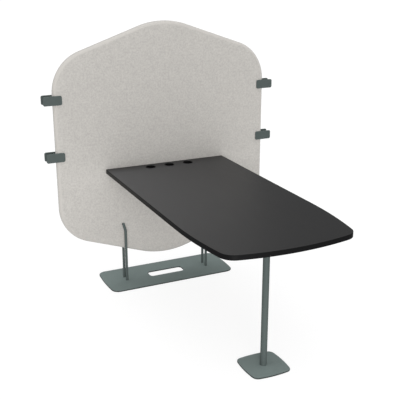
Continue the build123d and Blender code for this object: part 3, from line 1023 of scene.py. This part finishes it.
class DESK_OT_screws(bpy.types.Operator):
    """Builds the screws with their heads' sockets and recesses"""
    bl_idname = "desk.screws"
    bl_label = "Screws"

    def execute(self, context):
        sizes = context.scene.desk_screws
        for name, node, turned, shank in SCREWS:
            along = np.abs(shank).argmax()
            turn = np.array(Vector(shank).to_track_quat("-Z", "Y").to_matrix())
            points, faces = [], []
            for low, high in loose_boxes(node):
                size = high - low
                shape, sides = turned(sizes, size[along - 1] / 2, size[along])
                head = (low + high) / 2
                head[along] = low[along] if shank[along] > 0 else high[along]
                start = sum(len(part) for part in points)
                points.append(shape @ turn.T + head)
                faces += [tuple(start + i for i in side) for side in sides]
            new_piece(name, np.vstack(points), faces, "zinc_steel", node)
        return {"FINISHED"}


# Carried-over solids

def slot_of(node):
    """The record's material slot for a node."""
    for part in frame["record"]["subparts"]:
        if part["node"] == node:
            return part["material_slot"]
    raise KeyError(f"the record has no finish for {node}")


class DESK_OT_finishes(bpy.types.Operator):
    """Gives every solid of the desk its finish"""
    bl_idname = "desk.finishes"
    bl_label = "Finishes"

    def execute(self, context):
        for name, solid in frame["nodes"].items():
            solid.data.materials.clear()
            solid.data.materials.append(finish_for(slot_of(name)))
        return {"FINISHED"}


# Light, floor and camera

def aim(thing, place, target):
    """Puts a light at a place and turns it towards a target."""
    thing.location = place
    thing.rotation_euler = (Vector(target) - Vector(place)).to_track_quat("-Z", "Y").to_euler()


def soft_light(name, power, size, place, target):
    """A round area light."""
    lamp = bpy.data.lights.new(name, "AREA")
    lamp.energy = power
    lamp.shape = "DISK"
    lamp.size = size
    thing = bpy.data.objects.new(name, lamp)
    bpy.context.scene.collection.objects.link(thing)
    aim(thing, place, target)


def soft_sky(stage):
    """A soft sky, bright overhead and a little to the left, that the camera sees as white."""
    world = bpy.data.worlds.new("soft_sky")
    world.use_nodes = True
    sky = Wiring(world.node_tree)
    looking = sky.node("ShaderNodeTexCoord", {}, {}, output="Generated")
    towards = Vector(stage.bright_side).normalized()
    near = sky.clamped(sky.node("ShaderNodeVectorMath", {"operation": "DOT_PRODUCT"},
                                {0: looking, 1: towards}, output="Value"))
    strength = near * near * stage.sky_high + stage.sky_low
    lit = sky.node("ShaderNodeBackground", {}, {"Color": (1, 1, 1), "Strength": strength})
    seen = sky.node("ShaderNodeBackground", {}, {"Color": (1, 1, 1), "Strength": SEEN_SKY})
    direct = sky.node("ShaderNodeLightPath", {}, {}, output="Is Camera Ray")
    both = sky.node("ShaderNodeMixShader", {}, {0: direct, 1: lit, 2: seen})
    sky.feed(world.node_tree.nodes["World Output"].inputs["Surface"], both)
    bpy.context.scene.world = world


def pale_floor(stage):
    """A wide floor just under the desk. It glows a little, so that it stays pale in the shade."""
    mesh = bpy.data.meshes.new("floor")
    around = ((-1, -1), (1, -1), (1, 1), (-1, 1))
    corners = [(x * FLOOR_REACH, y * FLOOR_REACH, 0) for x, y in around]
    mesh.from_pydata(corners, [], [(0, 1, 2, 3)])
    floor = bpy.data.objects.new("floor", mesh)
    floor.location.z = -FLOOR_DROP
    bpy.context.scene.collection.objects.link(floor)
    paint = Finish("pale_floor", {"Base Color": stage.floor, "Roughness": 0.9,
                                  "Specular IOR Level": 0.1, "Emission Color": (1, 1, 1),
                                  "Emission Strength": stage.floor_glow})
    mesh.materials.append(paint.material)
    floor.visible_glossy = False


class DESK_OT_stage(bpy.types.Operator):
    """Sets up the pale floor, the soft light and the camera"""
    bl_idname = "desk.stage"
    bl_label = "Stage"

    def execute(self, context):
        stage = context.scene.desk_stage
        soft_sky(stage)
        pale_floor(stage)
        for name, power, width, place, target in LAMPS:
            soft_light(name, getattr(stage, power), width, place, target)
        camera = bpy.data.cameras.new("camera")
        camera.sensor_width = 36
        camera.lens = stage.lens
        camera.clip_end = 300
        thing = bpy.data.objects.new("camera", camera)
        context.scene.collection.objects.link(thing)
        thing.location = CAMERA_PLACE
        thing.rotation_euler = (math.pi / 2 - CAMERA_DOWN, 0, CAMERA_TURN)
        context.scene.camera = thing
        context.scene.view_settings.view_transform = "Standard"
        return {"FINISHED"}


OPERATORS = (DESK_OT_stage, DESK_OT_padded_screen, DESK_OT_screws, DESK_OT_finishes)


class DESK_PT_panel(bpy.types.Panel):
    """Lists the steps and the sizes that they use"""
    bl_idname = "DESK_PT_panel"
    bl_label = "Desk with privacy screen"
    bl_space_type = "VIEW_3D"
    bl_region_type = "UI"
    bl_category = "Desk"

    def draw(self, context):
        for step in OPERATORS:
            self.layout.operator(step.bl_idname)
        for group in (context.scene.desk_screen, context.scene.desk_screws,
                      context.scene.desk_finishes, context.scene.desk_stage):
            box = self.layout.box()
            for name in group.__annotations__:
                box.prop(group, name)


CLASSES = (DeskScreenForm, DeskScrews, DeskFinishes, DeskStage, *OPERATORS, DESK_PT_panel)


def register():
    for item in CLASSES:
        bpy.utils.register_class(item)
    bpy.types.Scene.desk_screen = PointerProperty(type=DeskScreenForm)
    bpy.types.Scene.desk_screws = PointerProperty(type=DeskScrews)
    bpy.types.Scene.desk_finishes = PointerProperty(type=DeskFinishes)
    bpy.types.Scene.desk_stage = PointerProperty(type=DeskStage)


def unregister():
    del bpy.types.Scene.desk_stage
    del bpy.types.Scene.desk_finishes
    del bpy.types.Scene.desk_screws
    del bpy.types.Scene.desk_screen
    for item in reversed(CLASSES):
        bpy.utils.unregister_class(item)


def main():
    register()
    for step in OPERATORS:
        group, name = step.bl_idname.split(".")
        getattr(getattr(bpy.ops, group), name)()


if __name__ == "__main__":
    main()
